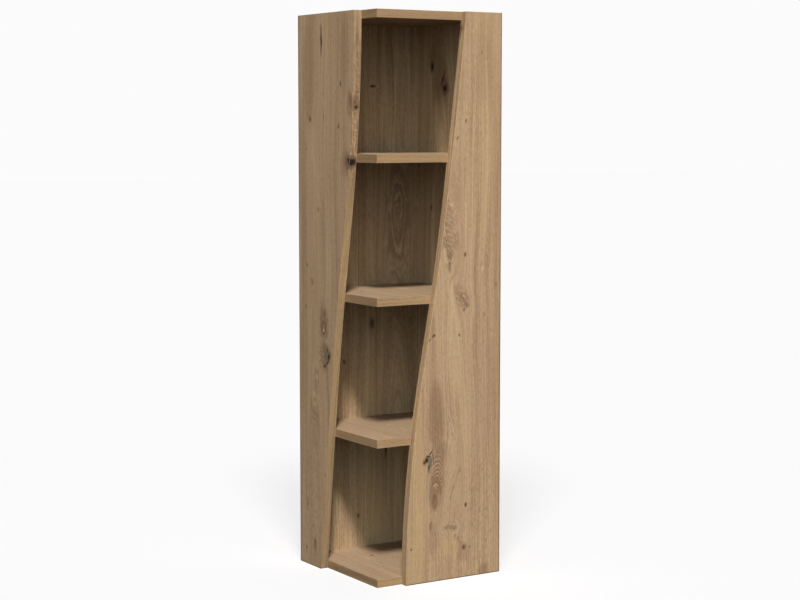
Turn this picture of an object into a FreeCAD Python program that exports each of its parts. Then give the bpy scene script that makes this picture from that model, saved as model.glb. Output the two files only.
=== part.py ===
"""Open corner shelf tower: four uprights round five square boards.

Frame: millimetres, +Z up. The origin is on the floor, under the middle of the square plan.
The open corner F points to -X, -Y. L is the corner at -X, +Y, R the one at +X, -Y, and B, the corner
that stands in the corner of the room, is at +X, +Y.
"""

import FreeCAD, Part
import math
import os

V = FreeCAD.Vector

# ---------------------------------------------------------------- driving dimensions
HEIGHT = 1320.0  # floor to top
SIDE = 348.0  # outer side of the square plan
BOARD = 19.0  # one thickness of melamine-faced board throughout
SHELVES = 3  # shelves between the top and the bottom board
BAND = 1.0  # edge banding

HALF = SIDE / 2
IN = HALF - BOARD  # inner faces of the uprights, edges of the square boards
PITCH = (HEIGHT - BOARD) / (SHELVES + 1)

# Width of a front panel at a distance from its wide end, measured from its straight edge.
PROFILE = [
    (0.0, 263.0),
    (90.0, 261.3),
    (200.0, 254.4),
    (320.0, 242.0),
    (450.0, 223.2),
    (600.0, 196.2),
    (750.0, 171.2),
    (900.0, 150.0),
    (1050.0, 131.0),
    (1190.0, 114.2),
    (1320.0, 100.0),
]

# Cam fitting, 15 mm system
CAM_R = 7.45
CAM_HOLE_R = 7.6
CAM_HOLE_DEPTH = 14.0
CAM_INSET = 34.0  # edge of the board to the middle of the cam
CAM_TOP = 13.6  # upper face of the cam, above the underside
CAM_BOTTOM = 1.2
CAP_TOP, CAP_BOTTOM = 1.0, 0.3  # cover cap, sunk a little into the hole
BOLT_HOLE_R = 4.0
BOLT_THREAD_R, BOLT_THREAD_LEN, BOLT_THREAD_HOLE_R = 2.9, 11.0, 3.05

# Beech dowel 8 x 30
DOWEL_R, DOWEL_LEN, DOWEL_HOLE_R = 3.9, 29.0, 4.05
DOWEL_IN_FACE, DOWEL_IN_EDGE = 11.5, 19.0  # hole depths

# One-piece connecting screw 7 x 50
SCREW_LEN = 50.0
SCREW_HEAD_R, SCREW_HEAD_H = 4.9, 3.4
SCREW_SHANK_R, SCREW_CORE_R, SCREW_THREAD_R = 3.4, 2.3, 3.25
SCREW_HOLE_R, SCREW_SINK_R, SCREW_SINK = 3.6, 5.2, 5.0
SCREW_PILOT_R = 3.4
SCREW_CAP_R, SCREW_CAP_T = 5.0, 1.2
SCREW_SPREAD = 95.0  # each side of the middle of a board's edge
CORNER_SCREW_Z = (120.0, 487.0, 812.0, 1180.0)  # rear corner joint
CORNER_DOWEL_Z = (75.0, 245.0, 500.0, 820.0, 1070.0, 1245.0)  # front panels to back panels

LEVELS = [i * PITCH for i in range(SHELVES + 2)]
NAMES = ["bottom_board", "shelf_lower", "shelf_middle", "shelf_upper", "top_board"]


# ---------------------------------------------------------------- helpers
def box(x0, x1, y0, y1, z0, z1):
    return Part.makeBox(x1 - x0, y1 - y0, z1 - z0, V(x0, y0, z0))


def rod(r, length, at, along):
    return Part.makeCylinder(r, length, V(*at), V(*along))


def turned(profile):
    """Solid of revolution about +X from (x, r) points that start and end on the axis."""
    pts = [V(x, r, 0) for x, r in profile]
    wire = Part.makePolygon(pts + [pts[0]])
    return Part.Face(wire).revolve(V(0, 0, 0), V(1, 0, 0), 360)


def placed(shape, at, direction):
    """Copy of a shape made along +X, turned to a horizontal or vertical direction."""
    s = shape.copy()
    d = V(*direction)
    s.Placement = FreeCAD.Placement(V(*at), FreeCAD.Rotation(V(1, 0, 0), d))
    return s


def one_solid(shape):
    solids = shape.Solids
    if len(solids) != 1:
        raise ValueError("expected one solid, got %d" % len(solids))
    return solids[0]


nodes = {}


def keep(name, shape):
    if not shape.isValid():
        raise ValueError(name + " is not valid")
    nodes[name] = shape


# ---------------------------------------------------------------- the curved edge
curve = Part.BSplineCurve()
curve.interpolate(
    Points=[V(w, s, 0) for s, w in PROFILE],
    InitialTangent=V(0.0, 1.0, 0),
    FinalTangent=V(-0.105, 1.0, 0),
)


def curve_points(inset):
    """Points of the curved edge, moved inwards by the inset at right angles to the edge."""
    first, last = curve.FirstParameter, curve.LastParameter
    pts = []
    for i in range(41):
        t = first + (last - first) * i / 40
        p = curve.value(t)
        g = V(*curve.tangent(t)[0])
        n = V(-g.y, g.x, 0)
        n.normalize()
        if n.x > 0:
            n = n.negative()
        pts.append(p + n * inset)
    return pts


def width_at(s):
    """Width of the front panel at a distance from its wide end."""
    pts = curve_points(0.0)
    for a, b in zip(pts, pts[1:]):
        if a.y <= s <= b.y:
            return a.x + (b.x - a.x) * (s - a.y) / (b.y - a.y)
    return pts[-1].x


def panel_face(inset, overrun):
    """Outline in (width, distance from the wide end). overrun carries it past both ends."""
    if inset:
        pts = curve_points(inset)
        # level with both ends of the panel
        pts[0] = V(pts[0].x, -overrun, 0)
        pts[-1] = V(pts[-1].x - 0.1 * overrun, HEIGHT + overrun, 0)
        c = Part.BSplineCurve()
        c.interpolate(Points=pts)
        lo, hi = pts[0], pts[-1]
        edge = c.toShape()
        left = -50.0
        a, b = V(left, lo.y, 0), V(left, hi.y, 0)
    else:
        edge = curve.toShape()
        lo, hi = V(PROFILE[0][1], 0, 0), V(PROFILE[-1][1], HEIGHT, 0)
        a, b = V(0, 0, 0), V(0, HEIGHT, 0)
    wire = Part.Wire([Part.makeLine(a, lo), edge, Part.makeLine(hi, b), Part.makeLine(b, a)])
    return Part.Face(wire)


def right_place(shape):
    """(w, s, t) to the right-hand front panel: x = HALF - w, z = s, y = t - HALF."""
    m = FreeCAD.Matrix(-1, 0, 0, HALF, 0, 0, 1, -HALF, 0, 1, 0, 0, 0, 0, 0, 1)
    s = shape.copy()
    s.Placement = FreeCAD.Placement(m).multiply(shape.Placement)
    return s


def left_place(shape):
    """(w, s, t) to the left-hand front panel, the same panel turned over end for end."""
    m = FreeCAD.Matrix(0, 0, 1, -HALF, -1, 0, 0, HALF, 0, -1, 0, HEIGHT, 0, 0, 0, 1)
    s = shape.copy()
    s.Placement = FreeCAD.Placement(m).multiply(shape.Placement)
    return s


# ---------------------------------------------------------------- where the fasteners go
# Each list holds distances from the inner corner (L or R) along the edge of a board.
def stations(contact):
    bolts, dowels = [54.0], [22.0]
    if contact > 120:
        bolts.append(contact - 34.0)
    if contact > 165:
        dowels.append(contact - 64.0)
    return bolts, dowels


front_bolts, front_dowels = [], []  # (side, level, distance along the edge)
for k, z in enumerate(LEVELS):
    zm = z + BOARD / 2
    for side, s in (("right", zm), ("left", HEIGHT - zm)):
        bolts, dowels = stations(width_at(s) - BOARD)
        front_bolts += [(side, k, d) for d in bolts]
        front_dowels += [(side, k, d) for d in dowels]


def edge_point(side, d):
    """Point on a board's front edge, and the direction out of the board, at a distance from the inner corner."""
    if side == "right":
        return (IN - d, -IN), (0, -1, 0)
    return (-IN, IN - d), (-1, 0, 0)


# ---------------------------------------------------------------- fasteners, made along +X
def make_bolt():
    # x = 0 at the face of the upright; thread at -x, head at +x
    prof = [(-BOLT_THREAD_LEN, 0.0), (-BOLT_THREAD_LEN, 1.2)]
    x = -BOLT_THREAD_LEN + 1.0
    while x < -1.6:
        prof += [(x, 2.1), (x + 0.45, BOLT_THREAD_R), (x + 0.6, BOLT_THREAD_R), (x + 1.05, 2.1)]
        x += 1.35
    prof += [
        (-0.2, 2.1),
        (-0.2, BOLT_THREAD_R),
        (0.1, BOLT_THREAD_R),
        (0.1, 3.6),
        (1.4, 3.6),
        (1.4, 2.6),
        (27.0, 2.6),
        (28.0, 1.9),
        (31.4, 1.9),
        (32.2, 3.4),
        (34.4, 3.4),
        (35.0, 2.6),
        (35.0, 0.0),
    ]
    s = turned(prof)
    # cross recess in the head
    s = s.cut([box(32.6, 36, -0.55, 0.55, -2.1, 2.1), box(32.6, 36, -2.1, 2.1, -0.55, 0.55)])
    return one_solid(s)


def make_cam():
    # axis +X from the underside of the board upwards, x = 0 at the underside; the bolt comes in along -Y
    s = Part.makeCylinder(CAM_R, CAM_TOP - CAM_BOTTOM, V(CAM_BOTTOM, 0, 0), V(1, 0, 0))
    axis = BOARD / 2
    cuts = [
        # room for the bolt's head and the slot that its neck passes through
        Part.makeCylinder(4.2, 5.2, V(axis, -3.2, 0), V(0, 1, 0)),
        box(axis - 2.3, axis + 2.3, -9.0, -3.0, -2.4, 2.4),
        Part.makeCylinder(4.0, 6.0, V(axis, -9.0, 0), V(0, 1, 0)).common(
            box(axis - 4.2, axis + 4.2, -9.0, -5.4, -4.2, 4.2)
        ),
        # screwdriver cross and its arrow notch
        box(CAM_BOTTOM - 1, CAM_BOTTOM + 2.4, -4.4, 4.4, -0.6, 0.6),
        box(CAM_BOTTOM - 1, CAM_BOTTOM + 2.4, -0.6, 0.6, -4.4, 4.4),
        box(CAM_BOTTOM - 1, CAM_BOTTOM + 0.5, -6.6, -5.2, -0.5, 0.5),
    ]
    return one_solid(s.cut(cuts))


def make_cam_cap():
    # cup-shaped plastic cap pressed into the mouth of the cam's hole, x from the underside upwards
    s = Part.makeCylinder(CAM_R, CAP_TOP - CAP_BOTTOM, V(CAP_BOTTOM, 0, 0), V(1, 0, 0))
    return s.makeFillet(0.2, [e for e in s.Edges if abs(e.BoundBox.XMax - CAP_BOTTOM) < 1e-6 and len(e.Vertexes) == 1])


def make_dowel():
    # x = 0 at the middle of the dowel's length
    h = DOWEL_LEN / 2
    s = turned([(-h, 0), (-h, DOWEL_R - 0.9), (-h + 0.9, DOWEL_R), (h - 0.9, DOWEL_R), (h, DOWEL_R - 0.9), (h, 0)])
    flutes = []
    for i in range(10):
        a = 2 * math.pi * i / 10
        c = V(-h - 1, DOWEL_R * math.cos(a), DOWEL_R * math.sin(a))
        flutes.append(Part.makeCylinder(0.35, DOWEL_LEN + 2, c, V(1, 0, 0)))
    return one_solid(s.cut(flutes))


def make_screw():
    # x = 0 at the outer face of the panel, +X into the board; the head sits under the cap
    x0 = SCREW_CAP_T + 0.2
    x1 = x0 + SCREW_HEAD_H
    prof = [(x0, 0.0), (x0, SCREW_HEAD_R - 0.3), (x0 + 0.3, SCREW_HEAD_R), (x1 - 1.0, SCREW_HEAD_R), (x1, SCREW_SHANK_R)]
    prof += [(BOARD - 1.0, SCREW_SHANK_R), (BOARD, SCREW_CORE_R)]
    x, end = BOARD + 1.0, x0 + SCREW_LEN - 3.5
    while x < end - 2.0:
        prof += [(x, SCREW_CORE_R), (x + 0.9, SCREW_THREAD_R), (x + 1.1, SCREW_THREAD_R), (x + 2.0, SCREW_CORE_R)]
        x += 2.9
    prof += [(end, SCREW_CORE_R), (x0 + SCREW_LEN, 0.8), (x0 + SCREW_LEN, 0.0)]
    s = turned(prof)
    af = 4.0
    pts = [V(x0 - 1, af / math.sqrt(3) * math.cos(math.pi * k / 3), af / math.sqrt(3) * math.sin(math.pi * k / 3)) for k in range(7)]
    socket = Part.Face(Part.makePolygon(pts)).extrude(V(3.6, 0, 0))
    return one_solid(s.cut(socket))


def make_screw_cap():
    # flat head flush with the panel, and a stem that grips in the screw's socket
    s = Part.makeCylinder(SCREW_CAP_R, SCREW_CAP_T, V(0, 0, 0), V(1, 0, 0))
    stem = Part.makeCylinder(1.7, 2.2, V(SCREW_CAP_T - 0.1, 0, 0), V(1, 0, 0))
    return one_solid(s.fuse(stem).removeSplitter())


# ---------------------------------------------------------------- square boards
def board_tools(k):
    """Everything drilled into the board at a level."""
    z = LEVELS[k]
    zm = z + BOARD / 2
    tools = []
    for side, level, d in front_bolts:
        if level == k:
            (x, y), out = edge_point(side, d)
            inward = (-out[0], -out[1], 0)
            tools.append(rod(BOLT_HOLE_R, CAM_INSET + 1, (x + out[0], y + out[1], zm), inward))
            cx, cy = x + inward[0] * CAM_INSET, y + inward[1] * CAM_INSET
            tools.append(rod(CAM_HOLE_R, CAM_HOLE_DEPTH + 1, (cx, cy, z - 1), (0, 0, 1)))
    for side, level, d in front_dowels:
        if level == k:
            (x, y), out = edge_point(side, d)
            inward = (-out[0], -out[1], 0)
            tools.append(rod(DOWEL_HOLE_R, DOWEL_IN_EDGE + 1, (x + out[0], y + out[1], zm), inward))
    for u in (-SCREW_SPREAD, SCREW_SPREAD):
        depth = SCREW_LEN - BOARD + 3
        tools.append(rod(SCREW_PILOT_R, depth + 1, (u, IN + 1, zm), (0, -1, 0)))
        tools.append(rod(SCREW_PILOT_R, depth + 1, (IN + 1, u, zm), (-1, 0, 0)))
    return tools


for k, name in enumerate(NAMES):
    z0, z1 = LEVELS[k], LEVELS[k] + BOARD
    tools = board_tools(k)
    core = box(-IN + BAND, IN, -IN + BAND, IN, z0, z1).cut(tools)
    left = box(-IN, -IN + BAND, -IN, IN, z0, z1).cut(tools)
    right = box(-IN + BAND, IN, -IN, -IN + BAND, z0, z1).cut(tools)
    keep(name, one_solid(core))
    keep(name + "_edging_left", one_solid(left))
    keep(name + "_edging_right", one_solid(right))

# ---------------------------------------------------------------- back panels
left_tools, right_tools = [], []
for k in range(len(LEVELS)):
    zm = LEVELS[k] + BOARD / 2
    for u in (-SCREW_SPREAD, SCREW_SPREAD):
        left_tools.append(rod(SCREW_HOLE_R, BOARD + 2, (u, HALF + 1, zm), (0, -1, 0)))
        left_tools.append(rod(SCREW_SINK_R, SCREW_SINK + 1, (u, HALF + 1, zm), (0, -1, 0)))
        right_tools.append(rod(SCREW_HOLE_R, BOARD + 2, (HALF + 1, u, zm), (-1, 0, 0)))
        right_tools.append(rod(SCREW_SINK_R, SCREW_SINK + 1, (HALF + 1, u, zm), (-1, 0, 0)))
ymid = IN + BOARD / 2
for z in CORNER_SCREW_Z:
    right_tools.append(rod(SCREW_HOLE_R, BOARD + 2, (HALF + 1, ymid, z), (-1, 0, 0)))
    right_tools.append(rod(SCREW_SINK_R, SCREW_SINK + 1, (HALF + 1, ymid, z), (-1, 0, 0)))
    left_tools.append(rod(SCREW_PILOT_R, SCREW_LEN - BOARD + 4, (IN + 1, ymid, z), (-1, 0, 0)))
for z in CORNER_DOWEL_Z:
    left_tools.append(rod(DOWEL_HOLE_R, DOWEL_IN_EDGE + 1, (-IN - 1, ymid, z), (1, 0, 0)))
    right_tools.append(rod(DOWEL_HOLE_R, DOWEL_IN_EDGE + 1, (ymid, -IN - 1, z), (0, 1, 0)))

keep("back_panel_left", one_solid(box(-IN, IN, IN, HALF, 0, HEIGHT - BAND).cut(left_tools)))
keep("back_panel_left_edging_top", box(-IN, IN, IN, HALF, HEIGHT - BAND, HEIGHT))
keep("back_panel_right", one_solid(box(IN, HALF, -IN, HALF - BAND, 0, HEIGHT - BAND).cut(right_tools)))
keep("back_panel_right_edging_top", box(IN, HALF, -IN, HALF, HEIGHT - BAND, HEIGHT))
keep("back_panel_right_edging_rear", box(IN, HALF, HALF - BAND, HALF, 0, HEIGHT - BAND))

# ---------------------------------------------------------------- front panels
whole = panel_face(0.0, 0.0).extrude(V(0, 0, BOARD))
inner = panel_face(BAND, 20.0).extrude(V(0, 0, BOARD + 2))
inner.translate(V(0, 0, -1))


def front_panel(side):
    if side == "right":
        full, within = right_place(whole), right_place(inner)
        strip = box(HALF - BAND, HALF, -HALF, -IN, 0, HEIGHT)
    else:
        full, within = left_place(whole), left_place(inner)
        strip = box(-HALF, -IN, HALF - BAND, HALF, 0, HEIGHT)
    top = box(-HALF - 5, HALF + 5, -HALF - 5, HALF + 5, HEIGHT - BAND, HEIGHT + 5)
    keep("front_panel_%s_edging_top" % side, one_solid(full.common(top)))
    rest = full.cut(top)
    keep("front_panel_%s_edging_curved" % side, one_solid(rest.cut(within)))
    core = rest.common(within)
    keep("front_panel_%s_edging_outer" % side, one_solid(core.common(strip)))
    tools = []
    for s, k, d in front_bolts:
        if s == side:
            (x, y), out = edge_point(side, d)
            zm = LEVELS[k] + BOARD / 2
            tools.append(rod(BOLT_THREAD_HOLE_R, BOLT_THREAD_LEN + 1.5, (x - out[0], y - out[1], zm), out))
    for s, k, d in front_dowels:
        if s == side:
            (x, y), out = edge_point(side, d)
            zm = LEVELS[k] + BOARD / 2
            tools.append(rod(DOWEL_HOLE_R, DOWEL_IN_FACE + 1, (x - out[0], y - out[1], zm), out))
    for z in CORNER_DOWEL_Z:
        if side == "right":
            tools.append(rod(DOWEL_HOLE_R, DOWEL_IN_FACE + 1, (ymid, -IN + 1, z), (0, -1, 0)))
        else:
            tools.append(rod(DOWEL_HOLE_R, DOWEL_IN_FACE + 1, (-IN + 1, ymid, z), (-1, 0, 0)))
    keep("front_panel_%s" % side, one_solid(core.cut(strip).cut(tools)))


front_panel("left")
front_panel("right")

# ---------------------------------------------------------------- fastener groups
bolt, cam, cam_cap = make_bolt(), make_cam(), make_cam_cap()
dowel, screw, screw_cap = make_dowel(), make_screw(), make_screw_cap()
bolts, cams, cam_caps, dowels, screws, screw_caps = [], [], [], [], [], []

for side, k, d in front_bolts:
    (x, y), out = edge_point(side, d)
    z = LEVELS[k]
    inward = (-out[0], -out[1], 0)
    bolts.append(placed(bolt, (x, y, z + BOARD / 2), inward))
    cx, cy = x + inward[0] * CAM_INSET, y + inward[1] * CAM_INSET
    # the cam's local +X goes up, and its local -Y towards the bolt
    up, side_dir = V(0, 0, 1), V(*inward)
    m = FreeCAD.Matrix(
        up.x, side_dir.x, up.cross(side_dir).x, cx,
        up.y, side_dir.y, up.cross(side_dir).y, cy,
        up.z, side_dir.z, up.cross(side_dir).z, z,
        0, 0, 0, 1,
    )
    c = cam.copy()
    c.Placement = FreeCAD.Placement(m)
    cams.append(c)
    cam_caps.append(placed(cam_cap, (cx, cy, z), (0, 0, 1)))

shift = DOWEL_LEN / 2 - 10.8  # the dowel's middle lies this far inside the board's edge
for side, k, d in front_dowels:
    (x, y), out = edge_point(side, d)
    dowels.append(placed(dowel, (x - out[0] * shift, y - out[1] * shift, LEVELS[k] + BOARD / 2), (-out[0], -out[1], 0)))
for z in CORNER_DOWEL_Z:
    dowels.append(placed(dowel, (-IN + shift, ymid, z), (1, 0, 0)))
    dowels.append(placed(dowel, (ymid, -IN + shift, z), (0, 1, 0)))

for k in range(len(LEVELS)):
    zm = LEVELS[k] + BOARD / 2
    for u in (-SCREW_SPREAD, SCREW_SPREAD):
        for at, to in (((u, HALF, zm), (0, -1, 0)), ((HALF, u, zm), (-1, 0, 0))):
            screws.append(placed(screw, at, to))
            screw_caps.append(placed(screw_cap, at, to))
for z in CORNER_SCREW_Z:
    screws.append(placed(screw, (HALF, ymid, z), (-1, 0, 0)))
    screw_caps.append(placed(screw_cap, (HALF, ymid, z), (-1, 0, 0)))

for name, group in (
    ("cam_bolts", bolts),
    ("cam_discs", cams),
    ("cam_cover_caps", cam_caps),
    ("wood_dowels", dowels),
    ("connecting_screws", screws),
    ("screw_cover_caps", screw_caps),
):
    keep(name, Part.makeCompound(group))

# ---------------------------------------------------------------- one file for each piece
os.makedirs("parts", exist_ok=True)
for name, shape in nodes.items():
    shape.exportStep("parts/%s.step" % name)
    b = shape.BoundBox
    print(
        "%-32s %3d solid(s)  x %.1f..%.1f  y %.1f..%.1f  z %.1f..%.1f"
        % (name, len(shape.Solids), b.XMin, b.XMax, b.YMin, b.YMax, b.ZMin, b.ZMax)
    )
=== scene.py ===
"""Looks of the corner shelf tower: knotty oak decor on every board, panel and edge band, and the metal and plastic
of its hidden fittings, lit by one soft key light on a plain pale floor. Metres, +Z up, same frame as the construction."""

import math
import bpy
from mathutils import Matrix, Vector

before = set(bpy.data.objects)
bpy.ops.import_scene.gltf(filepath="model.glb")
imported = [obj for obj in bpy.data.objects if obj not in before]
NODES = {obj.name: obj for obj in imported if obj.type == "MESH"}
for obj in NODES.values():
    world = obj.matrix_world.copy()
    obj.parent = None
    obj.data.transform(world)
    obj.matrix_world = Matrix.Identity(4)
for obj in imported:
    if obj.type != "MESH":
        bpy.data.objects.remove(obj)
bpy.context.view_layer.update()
MM = 1000.0


# ---------------------------------------------------------------- node helpers
def srgb(r, g, b):
    """A colour given as 0-255 display values, in scene-linear values."""
    def f(c):
        c /= 255.0
        return c / 12.92 if c <= 0.04045 else ((c + 0.055) / 1.055) ** 2.4
    return (f(r), f(g), f(b), 1.0)


class Sock:
    """A float socket or number, with arithmetic that makes math nodes."""
    def __init__(self, nt, s):
        self.nt, self.s = nt, s

    def _op(self, op, *args, clamp=False):
        return math_node(self.nt, op, self, *args, clamp=clamp)

    def __add__(self, o): return self._op("ADD", o)
    def __radd__(self, o): return self._op("ADD", o)
    def __sub__(self, o): return self._op("SUBTRACT", o)
    def __rsub__(self, o): return math_node(self.nt, "SUBTRACT", o, self)
    def __mul__(self, o): return self._op("MULTIPLY", o)
    def __rmul__(self, o): return self._op("MULTIPLY", o)
    def __truediv__(self, o): return self._op("DIVIDE", o)
    def __rtruediv__(self, o): return math_node(self.nt, "DIVIDE", o, self)
    def __pow__(self, o): return self._op("POWER", o)
    def __neg__(self): return self._op("MULTIPLY", -1.0)
    def madd(self, m, a): return self._op("MULTIPLY_ADD", m, a)
    def clamp(self): return self._op("ADD", 0.0, clamp=True)
    def abs(self): return self._op("ABSOLUTE")
    def sqrt(self): return self._op("SQRT")
    def exp(self): return self._op("EXPONENT")
    def fract(self): return self._op("FRACT")
    def max(self, o): return self._op("MAXIMUM", o)
    def min(self, o): return self._op("MINIMUM", o)
    def gt(self, o): return self._op("GREATER_THAN", o)
    def lt(self, o): return self._op("LESS_THAN", o)


def put(nt, socket, value):
    if isinstance(value, Sock):
        value = value.s
    if isinstance(value, bpy.types.NodeSocket):
        nt.links.new(value, socket)
    elif value is not None:
        socket.default_value = value


def math_node(nt, op, *args, clamp=False):
    n = nt.nodes.new("ShaderNodeMath")
    n.operation = op
    n.use_clamp = clamp
    for i, a in enumerate(args):
        put(nt, n.inputs[i], a)
    return Sock(nt, n.outputs[0])


def smooth(nt, x, e0, e1, lo=0.0, hi=1.0):
    """lo before e0, hi after e1, smooth between; e0 may be the larger."""
    n = nt.nodes.new("ShaderNodeMapRange")
    n.interpolation_type = "SMOOTHSTEP"
    if isinstance(e0, (int, float)) and isinstance(e1, (int, float)) and e0 > e1:
        e0, e1, lo, hi = e1, e0, hi, lo
    for name, v in (("Value", x), ("From Min", e0), ("From Max", e1), ("To Min", lo), ("To Max", hi)):
        put(nt, n.inputs[name], v)
    return Sock(nt, n.outputs["Result"])


def vec(nt, x, y, z=0.0):
    n = nt.nodes.new("ShaderNodeCombineXYZ")
    for i, v in enumerate((x, y, z)):
        put(nt, n.inputs[i], v)
    return n.outputs[0]


def noise(nt, x, y, z=0.0, detail=2.0, rough=0.5, both=False):
    """Noise of about 0 to 1 at already scaled coordinates; both gives two independent values."""
    n = nt.nodes.new("ShaderNodeTexNoise")
    n.noise_dimensions = "3D"
    put(nt, n.inputs["Vector"], vec(nt, x, y, z))
    n.inputs["Scale"].default_value = 1.0
    n.inputs["Detail"].default_value = detail
    n.inputs["Roughness"].default_value = rough
    if not both:
        return Sock(nt, n.outputs["Fac"])
    s = nt.nodes.new("ShaderNodeSeparateColor")
    nt.links.new(n.outputs["Color"], s.inputs[0])
    return Sock(nt, s.outputs[0]), Sock(nt, s.outputs[1])


def mix_col(nt, fac, a, b, mode="MIX"):
    n = nt.nodes.new("ShaderNodeMix")
    n.data_type = "RGBA"
    n.blend_type = mode
    n.clamp_factor = True
    put(nt, n.inputs["Factor"], fac)
    for socket, v in ((n.inputs[6], a), (n.inputs[7], b)):
        put(nt, socket, v)
    return n.outputs[2]


def mix_f(nt, fac, a, b):
    n = nt.nodes.new("ShaderNodeMix")
    n.data_type = "FLOAT"
    n.clamp_factor = True
    put(nt, n.inputs[0], fac)
    put(nt, n.inputs[2], a)
    put(nt, n.inputs[3], b)
    return Sock(nt, n.outputs[0])


def group(name, ins, outs):
    """A node group: ins and outs are (name, kind, default) with kind F for a number and C for a colour."""
    g = bpy.data.node_groups.new(name, "ShaderNodeTree")
    kinds = {"F": "NodeSocketFloat", "C": "NodeSocketColor"}
    for n, k, d in ins:
        s = g.interface.new_socket(name=n, in_out="INPUT", socket_type=kinds[k])
        s.default_value = d
    for n, k in outs:
        g.interface.new_socket(name=n, in_out="OUTPUT", socket_type=kinds[k])
    gi, go = g.nodes.new("NodeGroupInput"), g.nodes.new("NodeGroupOutput")
    return g, {n: (Sock(g, gi.outputs[n]) if k == "F" else gi.outputs[n]) for n, k, _ in ins}, go


def use(nt, g, **values):
    n = nt.nodes.new("ShaderNodeGroup")
    n.node_tree = g
    for k, v in values.items():
        put(nt, n.inputs[k], v)
    return n.outputs


# ---------------------------------------------------------------- oak decor
# All lengths inside the oak groups are millimetres: U across the grain, V along it.

# One knot: how far a point is from its middle, in units of its own half width and half length.
KNOT, _i, _o = group("oak_knot", [("U", "F", 0), ("V", "F", 0), ("U0", "F", 0), ("V0", "F", 0), ("RU", "F", 5), ("RV", "F", 8), ("Lean", "F", 0)],
                     [("D", "F"), ("G", "F"), ("Push", "F")])
_dv = _i["V"] - _i["V0"]
_du = _i["U"] - _i["U0"] - _dv * _i["Lean"]
_a = _du / _i["RU"]
_b = _dv / _i["RV"]
_d2 = _a * _a + _b * _b
put(KNOT, _o.inputs["D"], _d2.sqrt())
_g = (_d2 * -0.30).exp()
put(KNOT, _o.inputs["G"], _g)
put(KNOT, _o.inputs["Push"], _du * _g)


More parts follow.
